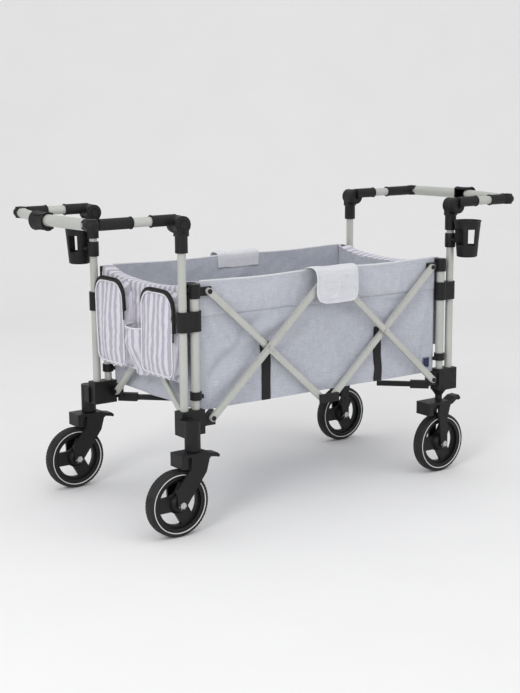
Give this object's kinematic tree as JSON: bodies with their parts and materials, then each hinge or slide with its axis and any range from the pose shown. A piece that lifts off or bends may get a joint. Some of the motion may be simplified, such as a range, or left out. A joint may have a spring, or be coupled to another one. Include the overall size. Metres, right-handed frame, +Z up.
{
  "type": "folding pull wagon",
  "caption": "Folding utility wagon with scissor side frames, cloth basket, end pouches, two fold-up push handles, cup holders and black spoked caster wheels.",
  "frame": {"origin": "on the floor under the middle of the bounding box", "axes": "+Z up, X along the wagon with the pocketed front end at -X, Y across with the left side at -Y"},
  "size_m": [1.7204, 0.752, 0.9505],
  "materials": {
    "grey_tube": "satin warm light grey powder coat on aluminium tube",
    "black_plastic": "fine-grained black moulded plastic",
    "handle_grip": "soft-touch black grip",
    "tyre": "black foam-filled rubber with fine tread",
    "basket_fabric": "heather light grey-blue woven polyester",
    "striped_fabric": "white and lavender-grey striped woven polyester",
    "webbing": "black polyester webbing and zip tape",
    "steel": "zinc plated rivets and axle bolts"
  },
  "bodies": {
    "lower_fl": {"posts_fl": "grey_tube", "foot_fl": "black_plastic"},
    "upper_fl": {"slide_fl": "grey_tube"},
    "lower_fr": {"posts_fr": "grey_tube", "foot_fr": "black_plastic", "cup_holder_fr": "black_plastic"},
    "upper_fr": {"slide_fr": "grey_tube"},
    "lower_rl": {"posts_rl": "grey_tube", "foot_rl": "black_plastic", "fork_rl": "black_plastic", "cup_holder_rl": "black_plastic"},
    "upper_rl": {"slide_rl": "grey_tube"},
    "lower_rr": {"posts_rr": "grey_tube", "foot_rr": "black_plastic", "fork_rr": "black_plastic"},
    "upper_rr": {"slide_rr": "grey_tube"},
    "caster_fl": {"fork_fl": "black_plastic"},
    "caster_fr": {"fork_fr": "black_plastic"},
    "wheel_fl": {"tyre_fl": "tyre", "rim_fl": "black_plastic"},
    "pedal_fl": {"swivel_lock_fl": "black_plastic"},
    "button_fl": {"button_fl": "black_plastic"},
    "arm_fl": {"handle_arm_fl": "handle_grip"},
    "crossbar_fl": {"crossbar_fl": "grey_tube"},
    "wheel_fr": {"tyre_fr": "tyre", "rim_fr": "black_plastic"},
    "pedal_fr": {"swivel_lock_fr": "black_plastic"},
    "button_fr": {"button_fr": "black_plastic"},
    "arm_fr": {"handle_arm_fr": "handle_grip"},
    "crossbar_fr": {"crossbar_fr": "grey_tube"},
    "wheel_rl": {"tyre_rl": "tyre", "rim_rl": "black_plastic"},
    "pedal_rl": {"brake_pedal_rl": "black_plastic"},
    "button_rl": {"button_rl": "black_plastic"},
    "arm_rl": {"handle_arm_rl": "handle_grip"},
    "crossbar_rl": {"crossbar_rl": "grey_tube"},
    "wheel_rr": {"tyre_rr": "tyre", "rim_rr": "black_plastic"},
    "pedal_rr": {"brake_pedal_rr": "black_plastic"},
    "button_rr": {"button_rr": "black_plastic"},
    "arm_rr": {"handle_arm_rr": "handle_grip"},
    "crossbar_rr": {"crossbar_rr": "grey_tube"},
    "left_front_rising": {"left_bar_front_rising": "grey_tube"},
    "left_front_falling": {"left_bar_front_falling": "grey_tube"},
    "left_rear_falling": {"left_bar_rear_falling": "grey_tube"},
    "left_rear_rising": {"left_bar_rear_rising": "grey_tube"},
    "left_top_link": {"left_top_link": "black_plastic", "basket": "basket_fabric", "end_pouches": "striped_fabric"},
    "left_bottom_link": {"left_bottom_link": "black_plastic"},
    "right_front_rising": {"right_bar_front_rising": "grey_tube"},
    "right_front_falling": {"right_bar_front_falling": "grey_tube"},
    "right_rear_falling": {"right_bar_rear_falling": "grey_tube"},
    "right_rear_rising": {"right_bar_rear_rising": "grey_tube"},
    "right_top_link": {"right_top_link": "black_plastic"},
    "right_bottom_link": {"right_bottom_link": "black_plastic"},
    "front_rising": {"front_bar_rising": "grey_tube"},
    "front_falling": {"front_bar_falling": "grey_tube"},
    "rear_rising": {"rear_bar_rising": "grey_tube"},
    "rear_falling": {"rear_bar_falling": "grey_tube"}
  },
  "joints": [
    {"name": "fold", "type": "hinge", "parent": "lower_fl", "child": "left_front_rising", "pos_m": [-0.45, -0.287, 0.33], "axis": [0, -1, 0], "range_deg": [0, 27], "deforming": ["basket", "end_pouches"]},
    {"name": "left_front_crossing", "type": "hinge", "parent": "left_front_rising", "child": "left_front_falling", "pos_m": [-0.23625, -0.287, 0.5225], "axis": [0, -1, 0], "range_deg": [-54, 0]},
    {"name": "left_bottom_link_pivot", "type": "hinge", "parent": "left_front_falling", "child": "left_bottom_link", "pos_m": [-0.0225, -0.275, 0.33], "axis": [0, -1, 0], "range_deg": [0, 27]},
    {"name": "left_top_link_pivot", "type": "hinge", "parent": "left_front_rising", "child": "left_top_link", "pos_m": [-0.0225, -0.287, 0.715], "axis": [0, -1, 0], "range_deg": [-27, 0]},
    {"name": "left_rear_top_pivot", "type": "hinge", "parent": "left_top_link", "child": "left_rear_falling", "pos_m": [0.0225, -0.287, 0.715], "axis": [0, -1, 0], "range_deg": [-27, 0]},
    {"name": "left_rear_crossing", "type": "hinge", "parent": "left_rear_falling", "child": "left_rear_rising", "pos_m": [0.23625, -0.287, 0.5225], "axis": [0, -1, 0], "range_deg": [0, 54]},
    {"name": "left_front_head_pivot", "type": "hinge", "parent": "left_front_falling", "child": "upper_fl", "pos_m": [-0.45, -0.275, 0.715], "axis": [0, -1, 0], "range_deg": [0, 27]},
    {"name": "left_rear_foot_pivot", "type": "hinge", "parent": "left_rear_falling", "child": "lower_rl", "pos_m": [0.45, -0.287, 0.33], "axis": [0, -1, 0], "range_deg": [0, 27]},
    {"name": "left_rear_head_pivot", "type": "hinge", "parent": "left_rear_rising", "child": "upper_rl", "pos_m": [0.45, -0.275, 0.715], "axis": [0, -1, 0], "range_deg": [-27, 0]},
    {"name": "front_left_foot_pivot", "type": "hinge", "parent": "lower_fl", "child": "front_rising", "pos_m": [-0.508, -0.21375, 0.33], "axis": [1, 0, 0], "range_deg": [0, 27]},
    {"name": "front_crossing", "type": "hinge", "parent": "front_rising", "child": "front_falling", "pos_m": [-0.508, 0, 0.5225], "axis": [1, 0, 0], "range_deg": [-54, 0]},
    {"name": "front_right_foot_pivot", "type": "hinge", "parent": "front_falling", "child": "lower_fr", "pos_m": [-0.496, 0.21375, 0.33], "axis": [1, 0, 0], "range_deg": [0, 27]},
    {"name": "front_right_head_pivot", "type": "hinge", "parent": "front_rising", "child": "upper_fr", "pos_m": [-0.508, 0.21375, 0.715], "axis": [1, 0, 0], "range_deg": [-27, 0]},
    {"name": "rear_left_foot_pivot", "type": "hinge", "parent": "lower_rl", "child": "rear_rising", "pos_m": [0.508, -0.21375, 0.33], "axis": [1, 0, 0], "range_deg": [0, 27]},
    {"name": "rear_crossing", "type": "hinge", "parent": "rear_rising", "child": "rear_falling", "pos_m": [0.508, 0, 0.5225], "axis": [1, 0, 0], "range_deg": [-54, 0]},
    {"name": "rear_right_foot_pivot", "type": "hinge", "parent": "rear_falling", "child": "lower_rr", "pos_m": [0.496, 0.21375, 0.33], "axis": [1, 0, 0], "range_deg": [0, 27]},
    {"name": "rear_right_head_pivot", "type": "hinge", "parent": "rear_rising", "child": "upper_rr", "pos_m": [0.508, 0.21375, 0.715], "axis": [1, 0, 0], "range_deg": [-27, 0]},
    {"name": "right_front_foot_pivot", "type": "hinge", "parent": "lower_fr", "child": "right_front_rising", "pos_m": [-0.45, 0.287, 0.33], "axis": [0, -1, 0], "range_deg": [0, 27]},
    {"name": "right_front_crossing", "type": "hinge", "parent": "right_front_rising", "child": "right_front_falling", "pos_m": [-0.23625, 0.287, 0.5225], "axis": [0, -1, 0], "range_deg": [-54, 0]},
    {"name": "right_bottom_link_pivot", "type": "hinge", "parent": "right_front_falling", "child": "right_bottom_link", "pos_m": [-0.0225, 0.275, 0.33], "axis": [0, -1, 0], "range_deg": [0, 27]},
    {"name": "right_top_link_pivot", "type": "hinge", "parent": "right_front_rising", "child": "right_top_link", "pos_m": [-0.0225, 0.287, 0.715], "axis": [0, -1, 0], "range_deg": [-27, 0]},
    {"name": "right_rear_top_pivot", "type": "hinge", "parent": "right_top_link", "child": "right_rear_falling", "pos_m": [0.0225, 0.287, 0.715], "axis": [0, -1, 0], "range_deg": [-27, 0]},
    {"name": "right_rear_crossing", "type": "hinge", "parent": "right_rear_falling", "child": "right_rear_rising", "pos_m": [0.23625, 0.287, 0.5225], "axis": [0, -1, 0], "range_deg": [0, 54]},
    {"name": "front_handle_fold", "type": "hinge", "parent": "lower_fl", "child": "arm_fl", "pos_m": [-0.539, -0.235, 0.918], "axis": [0, 1, 0], "range_deg": [-15, 120]},
    {"name": "front_handle_fold_right", "type": "hinge", "parent": "lower_fr", "child": "arm_fr", "pos_m": [-0.539, 0.299, 0.918], "axis": [0, 1, 0], "range_deg": [-15, 120]},
    {"name": "rear_handle_fold", "type": "hinge", "parent": "lower_rl", "child": "arm_rl", "pos_m": [0.539, -0.299, 0.918], "axis": [0, -1, 0], "range_deg": [-15, 120]},
    {"name": "rear_handle_fold_right", "type": "hinge", "parent": "lower_rr", "child": "arm_rr", "pos_m": [0.539, 0.235, 0.918], "axis": [0, -1, 0], "range_deg": [-15, 120]},
    {"name": "crossbar_elbow_fl", "type": "hinge", "parent": "arm_fl", "child": "crossbar_fl", "pos_m": [-0.815, -0.235, 0.93], "axis": [0, 0, 1], "range_deg": [0, 41.97]},
    {"name": "crossbar_elbow_fr", "type": "hinge", "parent": "arm_fr", "child": "crossbar_fr", "pos_m": [-0.775, 0.299, 0.93], "axis": [0, 0, 1], "range_deg": [-47.99, 0]},
    {"name": "crossbar_elbow_rr", "type": "hinge", "parent": "arm_rr", "child": "crossbar_rr", "pos_m": [0.815, 0.235, 0.93], "axis": [0, 0, 1], "range_deg": [0, 41.97]},
    {"name": "crossbar_elbow_rl", "type": "hinge", "parent": "arm_rl", "child": "crossbar_rl", "pos_m": [0.775, -0.299, 0.93], "axis": [0, 0, 1], "range_deg": [-47.99, 0]},
    {"name": "caster_swivel_fl", "type": "hinge", "parent": "lower_fl", "child": "caster_fl", "pos_m": [-0.545, -0.3195, 0.25], "axis": [0, 0, 1], "continuous": true},
    {"name": "caster_swivel_fr", "type": "hinge", "parent": "lower_fr", "child": "caster_fr", "pos_m": [-0.545, 0.3195, 0.25], "axis": [0, 0, 1], "continuous": true},
    {"name": "wheel_spin_fl", "type": "hinge", "parent": "caster_fl", "child": "wheel_fl", "pos_m": [-0.603, -0.3195, 0.1016], "axis": [0, 1, 0], "continuous": true},
    {"name": "swivel_lock_fl", "type": "hinge", "parent": "caster_fl", "child": "pedal_fl", "pos_m": [-0.497, -0.3195, 0.236], "axis": [0, 1, 0], "range_deg": [-20, 0]},
    {"name": "button_press_fl", "type": "slide", "parent": "lower_fl", "child": "button_fl", "axis": [0, 1, 0], "range_m": [0, 0.003], "stiffness_N_per_m": 600, "springref_m": -0.0005},
    {"name": "wheel_spin_fr", "type": "hinge", "parent": "caster_fr", "child": "wheel_fr", "pos_m": [-0.603, 0.3195, 0.1016], "axis": [0, 1, 0], "continuous": true},
    {"name": "swivel_lock_fr", "type": "hinge", "parent": "caster_fr", "child": "pedal_fr", "pos_m": [-0.497, 0.3195, 0.236], "axis": [0, 1, 0], "range_deg": [-20, 0]},
    {"name": "button_press_fr", "type": "slide", "parent": "lower_fr", "child": "button_fr", "axis": [0, 1, 0], "range_m": [0, 0.003], "stiffness_N_per_m": 600, "springref_m": -0.0005},
    {"name": "wheel_spin_rl", "type": "hinge", "parent": "lower_rl", "child": "wheel_rl", "pos_m": [0.497, -0.267, 0.1016], "axis": [0, 1, 0], "continuous": true},
    {"name": "brake_pedal_rl", "type": "hinge", "parent": "lower_rl", "child": "pedal_rl", "pos_m": [0.531, -0.267, 0.236], "axis": [0, 1, 0], "range_deg": [0, 25]},
    {"name": "button_press_rl", "type": "slide", "parent": "lower_rl", "child": "button_rl", "axis": [0, -1, 0], "range_m": [0, 0.003], "stiffness_N_per_m": 600, "springref_m": -0.0005},
    {"name": "wheel_spin_rr", "type": "hinge", "parent": "lower_rr", "child": "wheel_rr", "pos_m": [0.497, 0.267, 0.1016], "axis": [0, 1, 0], "continuous": true},
    {"name": "brake_pedal_rr", "type": "hinge", "parent": "lower_rr", "child": "pedal_rr", "pos_m": [0.531, 0.267, 0.236], "axis": [0, 1, 0], "range_deg": [0, 25]},
    {"name": "button_press_rr", "type": "slide", "parent": "lower_rr", "child": "button_rr", "axis": [0, -1, 0], "range_m": [0, 0.003], "stiffness_N_per_m": 600, "springref_m": -0.0005}
  ],
  "couplings": [
    {"joint": "left_front_crossing", "follows": "fold", "ratio": -2},
    {"joint": "left_bottom_link_pivot", "follows": "fold", "ratio": 1},
    {"joint": "left_top_link_pivot", "follows": "fold", "ratio": -1},
    {"joint": "left_rear_top_pivot", "follows": "fold", "ratio": -1},
    {"joint": "left_rear_crossing", "follows": "fold", "ratio": 2},
    {"joint": "left_front_head_pivot", "follows": "fold", "ratio": 1},
    {"joint": "left_rear_foot_pivot", "follows": "fold", "ratio": 1},
    {"joint": "left_rear_head_pivot", "follows": "fold", "ratio": -1},
    {"joint": "front_left_foot_pivot", "follows": "fold", "ratio": 1},
    {"joint": "front_crossing", "follows": "fold", "ratio": -2},
    {"joint": "front_right_foot_pivot", "follows": "fold", "ratio": 1},
    {"joint": "front_right_head_pivot", "follows": "fold", "ratio": -1},
    {"joint": "rear_left_foot_pivot", "follows": "fold", "ratio": 1},
    {"joint": "rear_crossing", "follows": "fold", "ratio": -2},
    {"joint": "rear_right_foot_pivot", "follows": "fold", "ratio": 1},
    {"joint": "rear_right_head_pivot", "follows": "fold", "ratio": -1},
    {"joint": "right_front_foot_pivot", "follows": "fold", "ratio": 1},
    {"joint": "right_front_crossing", "follows": "fold", "ratio": -2},
    {"joint": "right_bottom_link_pivot", "follows": "fold", "ratio": 1},
    {"joint": "right_top_link_pivot", "follows": "fold", "ratio": -1},
    {"joint": "right_rear_top_pivot", "follows": "fold", "ratio": -1},
    {"joint": "right_rear_crossing", "follows": "fold", "ratio": 2},
    {"joint": "front_handle_fold_right", "follows": "front_handle_fold", "ratio": 1},
    {"joint": "rear_handle_fold_right", "follows": "rear_handle_fold", "ratio": 1},
    {"joint": "crossbar_elbow_fl", "follows": "fold", "ratio": 1.5545},
    {"joint": "crossbar_elbow_fr", "follows": "fold", "ratio": -1.7773},
    {"joint": "crossbar_elbow_rr", "follows": "fold", "ratio": 1.5545},
    {"joint": "crossbar_elbow_rl", "follows": "fold", "ratio": -1.7773}
  ]
}
